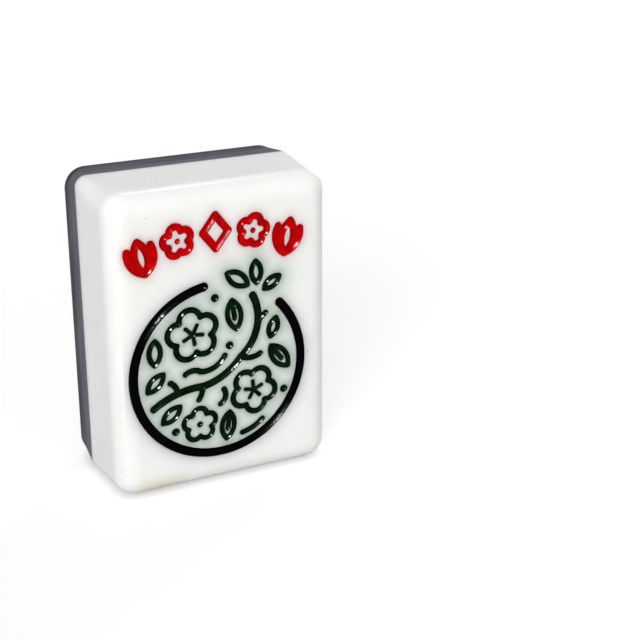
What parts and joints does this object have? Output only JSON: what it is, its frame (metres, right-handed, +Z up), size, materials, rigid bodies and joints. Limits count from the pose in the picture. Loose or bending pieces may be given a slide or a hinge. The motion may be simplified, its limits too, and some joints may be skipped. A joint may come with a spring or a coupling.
{
  "type": "mahjong tile",
  "caption": "Upright game tile: white block with engraved, paint-filled ornament on its face and a thick clear back over a striped, starry printed sheet.",
  "frame": {"origin": "middle of the tile's bottom edge face, where it stands", "axes": "+Z up the standing tile, -Y out of the engraved face, +Y out of the clear back, +X to the right as the face is seen"},
  "size_m": [0.0222, 0.0132, 0.03],
  "materials": {
    "white_resin": "polished white resin",
    "bond_film": "clear bond film",
    "printed_sheet": "woven print of diagonal stripes and small stars",
    "clear_acrylic": "polished clear acrylic with a slight smoke tint",
    "red_paint": "glossy enamel",
    "black_paint": "glossy enamel",
    "green_paint": "glossy enamel"
  },
  "bodies": {
    "root": {"face_block": "white_resin", "rear_bond": "bond_film", "print_sheet": "printed_sheet", "front_bond": "bond_film", "clear_back": "clear_acrylic", "red_bud_left": "red_paint", "red_blossom_left": "red_paint", "red_lozenge": "red_paint", "red_blossom_right": "red_paint", "red_bud_right": "red_paint", "black_ring": "black_paint", "green_branch": "green_paint", "green_blossom_upper": "green_paint", "green_blossom_lower": "green_paint", "green_blossom_small": "green_paint", "green_leaves_left": "green_paint", "green_leaves_right": "green_paint", "green_leaf_upper": "green_paint", "green_leaves_lower": "green_paint", "green_tendrils": "green_paint", "green_buds": "green_paint", "green_sprig": "green_paint"}
  },
  "joints": []
}
